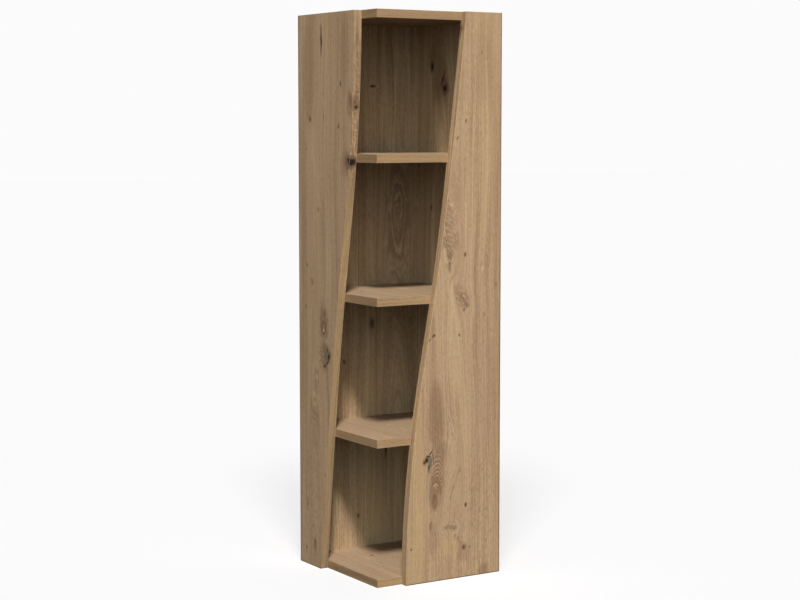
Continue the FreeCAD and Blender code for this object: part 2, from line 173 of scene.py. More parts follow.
def build_grain():
    """The grain itself: rings cut lengthwise, streaks, pores, ray flecks and slow colour zones, and what knots do to them."""
    g, i, o = group("oak_grain", [
        ("U", "F", 0), ("V", "F", 0), ("Seed", "F", 0), ("Push", "F", 0), ("Lift", "F", 0),
        ("Heart", "F", 0), ("Depth", "F", 10), ("Slope", "F", 0.05), ("Top", "F", 2000),
        ("Pink", "F", 0), ("Yellow", "F", 0), ("Fleck", "F", 0), ("Figure", "F", 0), ("Coarse", "F", 0),
        ("Brown", "F", 0), ("Black", "F", 0), ("Grey", "F", 0), ("Light", "F", 0),
        ("Arris", "F", 0), ("Contrast", "F", 1.0), ("Tint", "C", (1, 1, 1, 1))],
        [("Color", "C"), ("Height", "F"), ("Rough", "F")])
    U, V, Z = i["U"], i["V"], i["Seed"]
    # slow wander of the grain
    w1, w2 = noise(g, U * 0.008, V * 0.0017, Z, 1.5, 0.5, both=True)
    w3, w4 = noise(g, U * 0.03, V * 0.0065, Z + 3.1, 2.0, 0.5, both=True)
    Uf = U - i["Push"] * 0.85
    x = Uf - i["Heart"] + (w1 - 0.5) * 34.0 + (w3 - 0.5) * 8.0
    h = i["Depth"] + V._op("SMOOTH_MIN", i["Top"], 160.0) * i["Slope"] + (w2 - 0.5) * 34.0 + (w4 - 0.5) * 6.0
    R = (x * x + h * h).sqrt() + i["Lift"]
    # streaks that follow the rings; wide and soft, then narrow
    s1 = noise(g, R * 0.075, V * 0.0009, Z + 7.7, 3.0, 0.55)
    s2 = noise(g, R * 0.42, V * 0.0035, Z + 11.3, 3.0, 0.6)
    s3 = noise(g, Uf * 1.3, V * 0.085, Z + 17.9, 3.0, 0.65)
    # ring lines, uneven in width, stronger where the wood is figured
    rr = (R + (noise(g, R * 0.11, V * 0.002, Z + 23.0, 1.0) - 0.5) * 16.0) / 4.6
    t = rr.fract()
    line = smooth(g, t, 0.0, 0.55) * smooth(g, t, 1.0, 0.78)
    # pores: short dark dashes crowding in the ring lines
    p = noise(g, Uf * 2.6, V * 0.085, Z + 31.0, 1.5, 0.5)
    pore = smooth(g, p + (line - 0.5) * 0.10 + (s2 - 0.5) * 0.16, 0.60, 0.74)
    p2 = noise(g, Uf * 0.62, V * 0.055, Z + 37.0, 3.0, 0.6)
    dash = smooth(g, p2 + (s2 - 0.5) * 0.25 + i["Coarse"] * 0.04, 0.60, 0.78)
    # ray flecks: short light strokes leaning across the grain
    f1 = noise(g, (U * 0.65 + V * 0.76) * 0.42, (V * 0.65 - U * 0.76) * 0.075, Z + 41.0, 1.5, 0.5)
    fl = smooth(g, f1, 0.47, 0.63)
    zone = noise(g, U * 0.0125, V * 0.0011, Z + 47.0, 2.0, 0.5)
    zone2 = noise(g, U * 0.021, V * 0.0021, Z + 53.0, 2.0, 0.5)
    k = i["Contrast"]

    light, mid, dark = srgb(203, 174, 135), srgb(187, 156, 121), srgb(158, 126, 95)
    tone = 0.5 + ((s1 - 0.5) * 0.70 + (s2 - 0.5) * (i["Coarse"] * 0.5 + 0.92) + (s3 - 0.5) * (i["Coarse"] * 0.6 + 1.08)) * k
    c = mix_col(g, smooth(g, tone, 0.22, 0.56), dark, mid)
    c = mix_col(g, smooth(g, tone, 0.48, 0.86), c, light)
    pinkish, yellowish = srgb(176, 139, 111), srgb(194, 164, 119)
    c = mix_col(g, smooth(g, zone, 0.50, 0.72) * 0.40, c, yellowish)
    c = mix_col(g, smooth(g, zone2, 0.52, 0.72) * 0.36, c, pinkish)
    c = mix_col(g, i["Yellow"] * 0.75, c, mix_col(g, smooth(g, tone, 0.3, 0.75), srgb(186, 154, 110), srgb(201, 171, 125)))
    c = mix_col(g, i["Pink"] * 0.88, c, mix_col(g, smooth(g, tone, 0.28, 0.74), srgb(142, 110, 82), srgb(169, 136, 105)))
    # darker ring lines
    fig = (i["Figure"] * 0.75 + 0.14) * k
    c = mix_col(g, line * fig, c, mix_col(g, 0.62, c, srgb(128, 96, 72)))
    c = mix_col(g, dash * (i["Coarse"] * 0.25 + 0.62) * k, c, srgb(134, 103, 76))
    c = mix_col(g, pore * 0.42, c, srgb(112, 84, 62))
    c = mix_col(g, fl * (i["Fleck"] * 0.55 + 0.05), c, srgb(210, 184, 148))
    # knots and stains
    c = mix_col(g, i["Light"], c, srgb(211, 183, 145))
    c = mix_col(g, i["Brown"], c, mix_col(g, line * 0.5, srgb(117, 88, 61), srgb(90, 65, 45)))
    c = mix_col(g, i["Grey"], c, mix_col(g, s3, srgb(104, 96, 82), srgb(128, 117, 98)))
    c = mix_col(g, i["Black"], c, srgb(38, 29, 23))
    # painted highlight: the arris is a little paler, as a rounded edge catching the light would look
    arris_highlight = i["Arris"] * smooth(g, noise(g, U * 0.2, V * 0.045, Z + 59.0, 2.0), 0.35, 0.65, 0.45, 1.0)
    c = mix_col(g, arris_highlight * 0.55, c, srgb(217, 189, 152))
    c = mix_col(g, 1.0, c, i["Tint"], "MULTIPLY")
    put(g, o.inputs["Color"], c)
    height = pore * -0.45 + dash * -0.25 + s3 * 0.25 + s2 * 0.25 - i["Black"] * 1.6 - i["Brown"] * 0.3 - line * i["Figure"] * 0.3
    put(g, o.inputs["Height"], height)
    rough = 0.50 + pore * 0.16 + (s2 - 0.5) * 0.14 + i["Black"] * 0.2 - arris_highlight * 0.10
    put(g, o.inputs["Rough"], rough)
    return g


GRAIN = build_grain()


def build_chip():
    """Bare chipboard: flakes of mixed size and tone, for the unbanded lower ends and the bored holes."""
    g, i, o = group("chipboard", [("X", "F", 0), ("Y", "F", 0), ("Z", "F", 0)], [("Color", "C"), ("Height", "F"), ("Rough", "F")])
    v = g.nodes.new("ShaderNodeTexVoronoi")
    v.feature = "F1"
    v.inputs["Scale"].default_value = 1.0
    put(g, v.inputs["Vector"], vec(g, i["X"] * 0.55, i["Y"] * 0.55, i["Z"] * 0.55))
    s = g.nodes.new("ShaderNodeSeparateColor")
    g.links.new(v.outputs["Color"], s.inputs[0])
    n1 = noise(g, i["X"] * 1.7, i["Y"] * 1.7, i["Z"] * 1.7, 3.0, 0.6)
    flake = Sock(g, s.outputs[0])
    c = mix_col(g, flake, srgb(146, 114, 78), srgb(196, 166, 124))
    c = mix_col(g, smooth(g, n1, 0.56, 0.70) * 0.6, c, srgb(104, 78, 52))
    put(g, o.inputs["Color"], c)
    put(g, o.inputs["Height"], flake * 0.6 + n1)
    put(g, o.inputs["Rough"], 0.82 + (n1 - 0.5) * 0.1)
    return g


CHIP = build_chip()


def new_material(name):
    m = bpy.data.materials.new(name)
    m.use_nodes = True
    nt = m.node_tree
    nt.nodes.clear()
    out = nt.nodes.new("ShaderNodeOutputMaterial")
    b = nt.nodes.new("ShaderNodeBsdfPrincipled")
    nt.links.new(b.outputs[0], out.inputs[0])
    return m, nt, b


def object_mm(nt):
    """Object coordinates in millimetres as three sockets, and the surface normal's three parts."""
    tc = nt.nodes.new("ShaderNodeTexCoord")
    s = nt.nodes.new("ShaderNodeSeparateXYZ")
    nt.links.new(tc.outputs["Object"], s.inputs[0])
    n = nt.nodes.new("ShaderNodeSeparateXYZ")
    nt.links.new(tc.outputs["Normal"], n.inputs[0])
    return [Sock(nt, s.outputs[k]) * MM for k in range(3)], [Sock(nt, n.outputs[k]) for k in range(3)]


AX = {"x": 0, "y": 1, "z": 2}


def oak(name, u, v, seed, w=None, mid=None, marks=(), heart=0.0, depth=12.0, slope=0.05, top=2000.0, edges=(), joint_and_shade_lines=(), tint=(1.0, 1.0, 1.0), painted_shade_ramp=None,
        far_face_painted_shade=1.0, contrast=1.0):
    """Oak decor on one piece. u and v name the axes across and along the grain, w the axis through the piece with its
    middle plane at mid: the decor of the far face is another print. Faces that don't look along w are bare board.
    marks: (kind, u, v, half width, half length, strength, lean). edges: (axis, place) of arrises, which get a painted
    highlight. heart, depth, slope and top say where the board was cut from the log: rings close upwards round heart, up
    to the height top. joint_and_shade_lines: (axis, place, half width, axis of the face it lies on) of dark lines:
    painted shade where a face meets the floor, and along outer arrises painted shade together with the banding joint.
    painted_shade_ramp: (v, factor, v, factor) of painted light and shade that changes slowly along the grain.
    far_face_painted_shade: factor that darkens the far face: painted shade on the boards' undersides; on the back walls
    it takes the painted light of their tint off the outer faces."""
    m, nt, b = new_material(name)
    P, N = object_mm(nt)
    X, Y = P[AX[u]], P[AX[v]]
    U0, V0, far = X, Y, None
    if w is not None and mid is not None:
        far = P[AX[w]].gt(mid[0]) if mid[1] > 0 else P[AX[w]].lt(mid[0])
        U0, V0 = X + far * 613.0, Y + far * 1907.0
    sums = {k: None for k in ("Push", "Lift", "Pink", "Yellow", "Fleck", "Figure", "Coarse", "Brown", "Black", "Grey", "Light")}

    def add(key, value, op="max"):
        old = sums[key]
        sums[key] = value if old is None else (old.max(value) if op == "max" else old + value)

    if marks:
        # ragged outlines
        a1, a2 = noise(nt, U0 * 0.16, V0 * 0.05, seed + 71.0, 2.5, 0.6, both=True)
        Uw = U0 + (a1 - 0.5) * 6.0
        Vw = V0 + (a2 - 0.5) * 10.0
        Va = V0 + (a2 - 0.5) * 5.0
        c1, c2 = noise(nt, U0 * 0.05, V0 * 0.016, seed + 83.0, 3.0, 0.6, both=True)
        Ub = U0 + (c1 - 0.5) * 18.0
        Vb = V0 + (c2 - 0.5) * 40.0
    for kind, mu, mv, ru, rv, strength, lean in marks:
        big = kind in ("pink", "yellow", "fleck", "figure", "swirl", "coarse")
        k = use(nt, KNOT, U=Ub if big else Uw, V=Vb if big else Va if kind == "arch" else Vw, U0=float(mu), V0=float(mv), RU=float(ru), RV=float(rv), Lean=float(lean))
        D, G, Push = (Sock(nt, k[n]) for n in ("D", "G", "Push"))
        if kind == "pin":        # a pin knot: dark dot, thin brown tail along the grain
            add("Black", smooth(nt, D, 1.0, 0.35) * (strength * 0.42))
            add("Brown", smooth(nt, D, 1.75, 0.7) * strength)
            add("Push", Push, "sum")
        elif kind == "dot":      # a soft brown dot
            add("Brown", smooth(nt, D, 1.35, 0.4) * strength)
            add("Push", Push, "sum")
        elif kind == "knot":     # a sound knot: rings, dark rim, dark heart
            add("Brown", smooth(nt, D, 1.25, 0.75) * (strength * 0.8))
            add("Black", smooth(nt, D, 0.55, 0.12) * (strength * 0.65))
            add("Black", smooth(nt, (D - 1.0).abs(), 0.22, 0.04) * (strength * 0.30))
            add("Figure", G * strength)
            add("Pink", smooth(nt, D, 2.6, 1.0) * (strength * 0.6))
            add("Push", Push, "sum")
        elif kind == "crack":    # a split along the grain with a stained border
            add("Black", smooth(nt, D, 1.0, 0.45) * strength)
            add("Brown", smooth(nt, D, 2.4, 0.9) * (strength * 0.75))
            add("Push", Push, "sum")
        elif kind == "grey":
            add("Grey", smooth(nt, D, 1.1, 0.7) * strength)
        elif kind == "light":
            add("Light", smooth(nt, D, 1.2, 0.5) * strength)
        elif kind == "pink":
            add("Pink", smooth(nt, D, 1.35, 0.6) * strength)
        elif kind == "yellow":
            add("Yellow", smooth(nt, D, 1.35, 0.6) * strength)
        elif kind == "fleck":
            add("Fleck", smooth(nt, D, 1.2, 0.6) * strength)
        elif kind == "figure":
            add("Figure", smooth(nt, D, 1.4, 0.6) * strength)
        elif kind == "coarse":
            add("Coarse", smooth(nt, D, 1.3, 0.5) * strength)
        elif kind == "ring":     # one soft dark ring
            add("Brown", smooth(nt, (D - 1.0).abs(), 0.55, 0.1) * strength)
        elif kind == "rings":    # thin dark rings, about 6 mm apart, round a branch just under the face
            t = (D * (float(ru) / 6.0) + (c1 - 0.5) * 1.2).fract()
            ring = smooth(nt, t, 0.0, 0.4) * smooth(nt, t, 1.0, 0.6)
            add("Brown", ring * smooth(nt, D, 2.5, 1.7) * smooth(nt, D, 0.5, 0.8) * strength)
        elif kind == "arch":     # nested arches that all spring from one point, about 7 mm apart at their crowns
            q = ((Va - float(mv)) / float(rv)).max(0.02)
            span = D * D / (q * 2.0)
            t = (span * (float(rv) / 5.0) + (c1 - 0.5) * 1.4).fract()
            inside = smooth(nt, span, 1.25, 0.95) * smooth(nt, span, 0.30, 0.5)
            add("Brown", smooth(nt, t, 0.0, 0.3) * smooth(nt, t, 0.62, 0.4) * inside * (strength * 0.40))
            add("Light", smooth(nt, t, 0.55, 0.75) * smooth(nt, t, 1.0, 0.85) * inside * (strength * 0.36))
            add("Brown", smooth(nt, (span - 0.62).abs(), 0.10, 0.02) * (strength * 0.5))
        elif kind == "swirl":    # the grain swinging round a branch just under the face
            add("Lift", (D * D * -1.0).exp() * strength, "sum")
    # dark lines: painted shade where a panel meets the floor, and painted shade along the outer arris, where the
    # banding joint also runs
    for axis, place, half, face in joint_and_shade_lines:
        add("Brown", smooth(nt, (P[AX[axis]] - float(place)).abs(), half + 0.35, half - 0.1) * N[AX[face]].abs().gt(0.5) * 0.85)
    arris = None
    for axis, place in edges:
        e = smooth(nt, (P[AX[axis]] - float(place)).abs(), 1.1, 0.25)
        arris = e if arris is None else arris.max(e)
    ins = {"U": U0, "V": V0, "Seed": float(seed), "Heart": float(heart), "Depth": float(depth), "Slope": float(slope),
           "Contrast": float(contrast), "Top": float(top), "Tint": tuple(tint) + (1.0,)}
    for key, value in sums.items():
        if value is not None:
            ins[key] = value
    if arris is not None:
        ins["Arris"] = arris
    o = use(nt, GRAIN, **ins)
    color, height, rough = o["Color"], Sock(nt, o["Height"]), Sock(nt, o["Rough"])
    # painted light and shade: the colour is scaled by a factor that changes slowly along the grain
    if painted_shade_ramp is not None:
        f = smooth(nt, Y, painted_shade_ramp[0], painted_shade_ramp[2], painted_shade_ramp[1], painted_shade_ramp[3])
        color = mix_col(nt, 1.0, color, vec(nt, f, f, f), "MULTIPLY")
    # painted shade: the far face is darkened by this factor; on the boards these are the undersides, on the back walls
    # it takes their painted light off the outer faces
    if far is not None and far_face_painted_shade != 1.0:
        color = mix_col(nt, far, color, mix_col(nt, 1.0, color, (far_face_painted_shade, far_face_painted_shade, far_face_painted_shade, 1.0), "MULTIPLY"))
    if w is not None:
        chip = use(nt, CHIP, X=P[0], Y=P[1], Z=P[2])
        bare = N[AX[w]].abs().lt(0.6)
        color = mix_col(nt, bare, color, chip["Color"])
        height = mix_f(nt, bare, height, Sock(nt, chip["Height"]))
        rough = mix_f(nt, bare, rough, Sock(nt, chip["Rough"]))
    bump = nt.nodes.new("ShaderNodeBump")
    bump.inputs["Strength"].default_value = 0.35
    bump.inputs["Distance"].default_value = 0.0004
    put(nt, bump.inputs["Height"], height)
    put(nt, b.inputs["Base Color"], color)
    put(nt, b.inputs["Roughness"], rough)
    nt.links.new(bump.outputs[0], b.inputs["Normal"])
    b.inputs["Specular IOR Level"].default_value = 0.32
    return m


# ---------------------------------------------------------------- fittings
def zinc(name, seed, tint, rough0, scale):
    """Zinc plate or die-cast zinc: cloudy spangle, fine scratches along the part, a duller skin in places."""
    m, nt, b = new_material(name)
    P, _ = object_mm(nt)
    cloud = noise(nt, P[0] * scale, P[1] * scale, P[2] * scale + seed, 4.0, 0.6)
    fine = noise(nt, P[0] * 3.1, P[1] * 3.1, P[2] * 3.1 + seed, 2.0, 0.5)
    dark = tuple(c * 0.62 for c in tint[:3]) + (1.0,)
    put(nt, b.inputs["Base Color"], mix_col(nt, smooth(nt, cloud, 0.35, 0.65), dark, tint))
    b.inputs["Metallic"].default_value = 1.0
    put(nt, b.inputs["Roughness"], rough0 + (cloud - 0.5) * 0.25 + (fine - 0.5) * 0.12)
    bump = nt.nodes.new("ShaderNodeBump")
    bump.inputs["Strength"].default_value = 0.25
    bump.inputs["Distance"].default_value = 0.00008
    put(nt, bump.inputs["Height"], fine + cloud * 0.5)
    nt.links.new(bump.outputs[0], b.inputs["Normal"])
    return m


def beech(name):
    m, nt, b = new_material(name)
    P, _ = object_mm(nt)
    along = P[0] + P[1]
    g = noise(nt, P[0] * 0.9, P[1] * 0.9, P[2] * 1.4, 3.0, 0.6)
    fl = noise(nt, along * 0.5, P[2] * 3.0, 4.0, 2.0, 0.5)
    c = mix_col(nt, smooth(nt, g, 0.35, 0.65), srgb(196, 160, 120), srgb(222, 190, 150))
    c = mix_col(nt, smooth(nt, fl, 0.60, 0.70) * 0.6, c, srgb(158, 118, 84))
    put(nt, b.inputs["Base Color"], c)
    put(nt, b.inputs["Roughness"], 0.62 + (g - 0.5) * 0.2)
    bump = nt.nodes.new("ShaderNodeBump")
    bump.inputs["Strength"].default_value = 0.3
    bump.inputs["Distance"].default_value = 0.0001
    put(nt, bump.inputs["Height"], g + fl)
    nt.links.new(bump.outputs[0], b.inputs["Normal"])
    return m


def plastic(name):
    m, nt, b = new_material(name)
    P, _ = object_mm(nt)
    g = noise(nt, P[0] * 2.4, P[1] * 2.4, P[2] * 2.4, 3.0, 0.55)
    wide = noise(nt, P[0] * 0.12, P[1] * 0.12, P[2] * 0.12, 2.0, 0.5)
    c = mix_col(nt, smooth(nt, wide, 0.35, 0.65), srgb(138, 106, 76), srgb(158, 124, 92))
    c = mix_col(nt, smooth(nt, g, 0.55, 0.70) * 0.3, c, srgb(116, 88, 62))
    put(nt, b.inputs["Base Color"], c)
    put(nt, b.inputs["Roughness"], 0.48 + (g - 0.5) * 0.2)
    bump = nt.nodes.new("ShaderNodeBump")
    bump.inputs["Strength"].default_value = 0.25
    bump.inputs["Distance"].default_value = 0.00006
    put(nt, bump.inputs["Height"], g)
    nt.links.new(bump.outputs[0], b.inputs["Normal"])
    return m


# ---------------------------------------------------------------- the pieces' materials
RIGHT_MARKS = [
    ("dot", 118, 1227, 1.4, 6, 0.7, 0), ("pin", 74, 1071, 2.0, 4, 0.8, 0), ("pin", 51, 1031, 2.4, 4, 0.75, 0.2),
    ("pink", 42, 1153, 30, 90, 0.35, 0), ("pink", 117, 1202, 34, 90, 0.3, 0),
    # brown wedge narrowing down to a pin knot
    ("pink", 19, 883, 9, 32, 0.9, -0.15), ("pink", 25, 839, 15, 34, 1, -0.08), ("pink", 31, 797, 22, 28, 1, 0), ("pink", 31, 770, 12, 16, 1, 0), ("dot", 28, 832, 15, 42, 0.16, -0.1), ("dot", 31, 786, 16, 24, 0.16, 0), ("fleck", 30, 825, 24, 75, 1, -0.08), ("figure", 30, 820, 26, 70, 0.35, 0), ("swirl", 30, 820, 20, 75, 8, 0), ("dot", 31, 760, 7.5, 13, 0.55, 0), ("dot", 30, 764, 10, 14, 0.3, 0), ("dot", 30, 737, 4.6, 14, 0.62, 0), ("crack", 29, 744, 1.9, 2.6, 0.8, 0),
    ("pin", 73, 762, 3.0, 4.5, 0.75, 0), ("light", 122, 729, 3.5, 8, 0.5, 0.4), ("dot", 118, 737, 2.5, 4, 0.4, 0.4),
    ("pink", 64, 664, 18, 28, 1, -0.3), ("dot", 67, 659, 12, 18, 0.2, -0.4), ("fleck", 64, 666, 15, 24, 0.9, 0), ("dot", 76, 647, 6, 9, 0.45, -0.5), ("dot", 71, 634, 3.2, 4, 0.85, 0), ("swirl", 64, 668, 15, 40, 9, 0),
    ("pin", -14, 577, 3.0, 3.6, 0.9, 0.6), ("pin", -26, 568, 2.2, 3.0, 0.8, 0.5), ("pin", 57, 575, 2.4, 3.2, 0.6, 0),
    ("dot", 128, 619, 3.2, 6, 0.4, 0), ("dot", 159, 689, 2.5, 5, 0.35, 0),
    # heartwood band above the cracked knot
    ("pink", -9, 389, 19, 80, 0.95, 0), ("figure", 19, 375, 34, 95, 0.55, 0), ("swirl", 41, 304, 13, 90, 14.0, 0),
    ("yellow", -57, 302, 17, 330, 0.9, -0.03), ("yellow", -89, 118, 20, 140, 0.6, 0),
    # cracked knot: a broken dark ring round a grey heart
    ("crack", -33, 288, 4.8, 6.5, 1, 0.3), ("crack", -39, 283, 2.8, 3.6, 1, 0), ("crack", -22, 304, 1.4, 8.5, 0.95, 0.6), ("crack", -28, 296, 5, 2, 1, 0), ("crack", -15, 294, 1.2, 9.5, 0.85, -0.15), ("crack", -26, 271, 2, 8.5, 1, 0.1), ("grey", -22, 284, 5.8, 13, 0.9, 0), ("pink", 4, 298, 18, 34, 0.95, 0.1), ("pink", 4, 368, 13, 50, 0.7, 0), ("dot", -36, 284, 7, 8, 0.6, 0),
    # arches springing over a second branch below it
    ("arch", -11, 163, 24, 62, 0.95, 0.06), ("pink", -5, 240, 19, 40, 0.9, 0), ("pink", -11, 198, 12, 26, 0.9, 0), ("figure", 2, 251, 26, 60, 0.4, 0), ("dot", -11, 205, 8, 23, 0.36, 0), ("ring", -11, 210, 11, 31, 0.28, 0), ("dot", -13, 198, 3, 15, 0.75, 0.08), ("dot", -5, 212, 1.6, 8, 0.5, 0.1), ("dot", -9, 179, 2.6, 6, 0.6, 0), ("light", -8, 227, 9, 2.6, 0.65, 0.3), ("light", -1, 199, 1.6, 9, 0.35, -0.05), ("swirl", -4, 245, 22, 70, 14, 0),
    ("pin", 76, 173, 2.6, 3.4, 0.9, 0), ("dot", 34, 194, 2.2, 4, 0.4, 0),
    
    ("dot", -21, 133, 4.6, 11, 0.45, 0), ("dot", 31, 124, 18, 6, 0.4, -0.3), ("dot", 45, 121, 6, 7, 0.5, 0), ("dot", 47, 101, 3.4, 9, 0.45, 0), ("yellow", 33, 82, 26, 28, 0.8, 0), ("pink", -15, 99, 14, 40, 0.5, 0),
    ("dot", 72, 72, 6.6, 6.5, 0.85, 0), ("crack", 71, 74, 2.6, 2.6, 0.55, 0), ("dot", 58, 90, 6, 10, 0.3, -0.5), ("pink", 72, 62, 16, 24, 0.7, 0), ("dot", 88, 70, 2, 3, 0.6, 0), ("dot", -75, 84, 2.6, 4, 0.75, 0), ("dot", 77, 173, 2.6, 3.2, 0.8, 0),
    ("pink", 127, 7, 14, 22, 0.75, 0), ("dot", 118, 3, 2.2, 18, 0.4, 0), ("dot", 133, 11, 2.2, 20, 0.4, 0), ("dot", 142, -5, 1.8, 16, 0.35, 0), ("coarse", 124, 130, 40, 190, 1, 0), ("coarse", 33, 46, 60, 90, 0.6, 0), ("coarse", 113, 1142, 40, 170, 0.6, 0), ("coarse", 4, 333, 30, 90, 0.5, 0), ("pink", 165, 509, 12, 600, 0.35, 0),
    # the face of the other side, out of sight in the photograph
    ("knot", 613 + 20, 1907 + 640, 7, 11, 0.8, 0), ("pin", 613 + 90, 1907 + 980, 3, 5, 0.8, 0), ("crack", 613 + 110, 1907 + 330, 2.5, 20, 0.9, 0),
]
LEFT_MARKS = [
    ("crack", 63, 1258, 2.6, 20, 1.0, 0), ("dot", 63, 1254, 6, 40, 0.35, 0), ("pin", -26, 1154, 2.6, 6, 0.75, 0.3),
    ("pin", 117, 1076, 3.6, 7, 0.75, 0.1), ("dot", 130, 1087, 3, 8, 0.4, 0.3), ("crack", 53, 1082, 1.1, 10, 0.6, 0), ("pin", -16, 1057, 3.4, 4.5, 0.7, -0.5),
    ("pink", 123, 1195, 26, 130, 0.7, 0), ("pink", -45, 1231, 20, 90, 0.5, 0), ("yellow", 28, 1154, 30, 200, 0.45, 0),
    ("pink", -68, 1109, 14, 34, 0.9, 0), ("dot", -72, 1115, 8, 18, 0.5, 0), ("dot", 138, 1004, 3, 5, 0.55, 0), ("pink", -59, 974, 30, 32, 0.9, 0), ("crack", -71, 976, 17, 10, 1, 0), ("crack", -64, 982, 9, 6, 1, 0), ("dot", -68, 963, 18, 6, 0.8, 0), ("grey", -73, 978, 7, 4, 0.62, 0), ("coarse", 116, 160, 60, 150, 1, 0), ("coarse", 76, 337, 50, 120, 0.6, 0),
    ("dot", 30, 941, 3, 6, 0.35, 0), ("dot", 80, 863, 3.4, 7, 0.6, 0), ("pin", 135, 729, 2.6, 5, 0.75, 0), ("dot", 111, 691, 7, 10, 0.40, 0),
    ("pin", 142, 628, 2.4, 4, 0.6, 0),
    # reddish tongue with an eye in it, running down into the largest knot
    ("pink", 56, 586, 17, 42, 1, 0), ("dot", 52, 615, 4, 12, 0.5, 0), ("ring", 56, 584, 8.5, 13, 0.65, 0), ("light", 56, 577, 4, 5, 0.75, 0), ("fleck", 60, 560, 14, 22, 0.7, 0), ("figure", 56, 584, 22, 60, 0.7, 0), ("swirl", 56, 584, 15, 60, 18, 0),
    ("crack", 32, 518, 5, 8.5, 1, -0.2), ("crack", 38, 503, 2.8, 9, 1, -0.9), ("crack", 39, 532, 2.2, 9, 0.85, 0.35), ("crack", 52, 493, 3.2, 4, 0.8, 0), ("grey", 46, 519, 9, 12, 0.85, 0), ("pink", 53, 517, 26, 32, 0.9, 0), ("fleck", 70, 516, 14, 22, 1, 0), ("rings", 48, 518, 10, 15, 0.3, 0), ("light", 34, 496, 5, 4, 0.4, -0.6),
    ("swirl", 100, 429, 15, 70, 14.0, 0), ("figure", 100, 429, 24, 80, 0.6, 0), ("light", 104, 421, 8, 8, 0.4, 0),
    ("pin", 34, 244, 2.4, 4, 0.5, 0), ("pin", 51, 233, 2.4, 4, 0.5, 0), ("dot", 51, 97, 2.6, 5, 0.5, 0),
    ("dot", 137, 151, 4.5, 17, 0.5, 0), ("crack", 102, 53, 2.2, 12, 0.6, 0), ("dot", 100, 57, 8, 20, 0.35, 0), ("pin", 143, 39, 2.6, 4, 0.8, 0),
    ("pink", 148, 712, 16, 500, 0.45, 0), ("yellow", 61, 337, 22, 200, 0.5, 0),
    ("knot", 613 + 60, 1907 + 440, 7, 12, 0.8, 0), ("pin", 613 + 10, 1907 + 1010, 3, 5, 0.8, 0), ("crack", 613 + 120, 1907 + 780, 2.5, 20, 0.9, 0),
]
BACK_LEFT_MARKS = [
    ("dot", 23, 1155, 10, 3.4, 1.0, 0), ("crack", 23, 1155, 6, 1.8, 0.8, 0), ("swirl", 95, 830, 22, 120, 26.0, 0), ("figure", 95, 844, 34, 130, 0.8, 0),
    ("pin", -69, 917, 2.6, 5, 0.8, 0), ("knot", 20, 574, 6, 11, 0.8, 0), ("pin", -60, 483, 3, 5, 0.8, 0), ("crack", 59, 262, 2.4, 20, 0.9, 0),
    ("pin", -21, 97, 3, 5, 0.8, 0), ("knot", 613 - 60, 1907 + 900, 7, 12, 0.8, 0), ("crack", 613 + 70, 1907 + 520, 2.4, 22, 0.9, 0),
    ("pin", 613 + 20, 1907 + 300, 3, 5, 0.8, 0), ("pin", 613 - 110, 1907 + 1150, 3, 5, 0.8, 0),
]
BACK_RIGHT_MARKS = [
    # the faint pale patch at (58, 1068) is painted light on the lower part of the top compartment's wall
    ("dot", 92, 1204, 8, 13, 1, 0), ("crack", 92, 1203, 5, 9, 1, 0), ("pink", 90, 1219, 20, 30, 0.7, 0), ("crack", 36, 1150, 9, 10, 1, 0), ("crack", 46, 1172, 3.2, 15, 0.9, -0.5), ("dot", 39, 1158, 14, 20, 0.6, 0), ("pink", 54, 1160, 30, 60, 0.8, 0), ("light", 58, 1068, 34, 66, 0.24, 0), ("figure", 72, 1194, 34, 80, 0.6, 0),
    ("pin", 96, 859, 3.4, 6, 0.8, 0), ("dot", 77, 873, 2.2, 150, 0.3, 0), ("knot", -38, 712, 7, 12, 0.8, 0), ("pin", 11, 492, 3, 5, 0.8, 0), ("crack", 60, 220, 2.4, 18, 0.9, 0),
    ("knot", 613 + 30, 1907 + 640, 7, 12, 0.8, 0), ("crack", 613 - 80, 1907 + 1010, 2.4, 22, 0.9, 0), ("pin", 613 + 110, 1907 + 210, 3, 5, 0.8, 0),
    ("pin", 613 - 20, 1907 + 380, 3, 5, 0.8, 0),
]

BAND, BAND_LEFT = (0.81, 0.775, 0.705), (0.75, 0.725, 0.645)
# the left curved band's darker tint is painted shade
CURVE_RIGHT, CURVE_LEFT_SHADED = (0.98, 0.975, 0.92), (0.835, 0.81, 0.76)
LEVELS = {"bottom_board": 0.0, "shelf_lower": 325.25, "shelf_middle": 650.5, "shelf_upper": 975.75, "top_board": 1301.0}

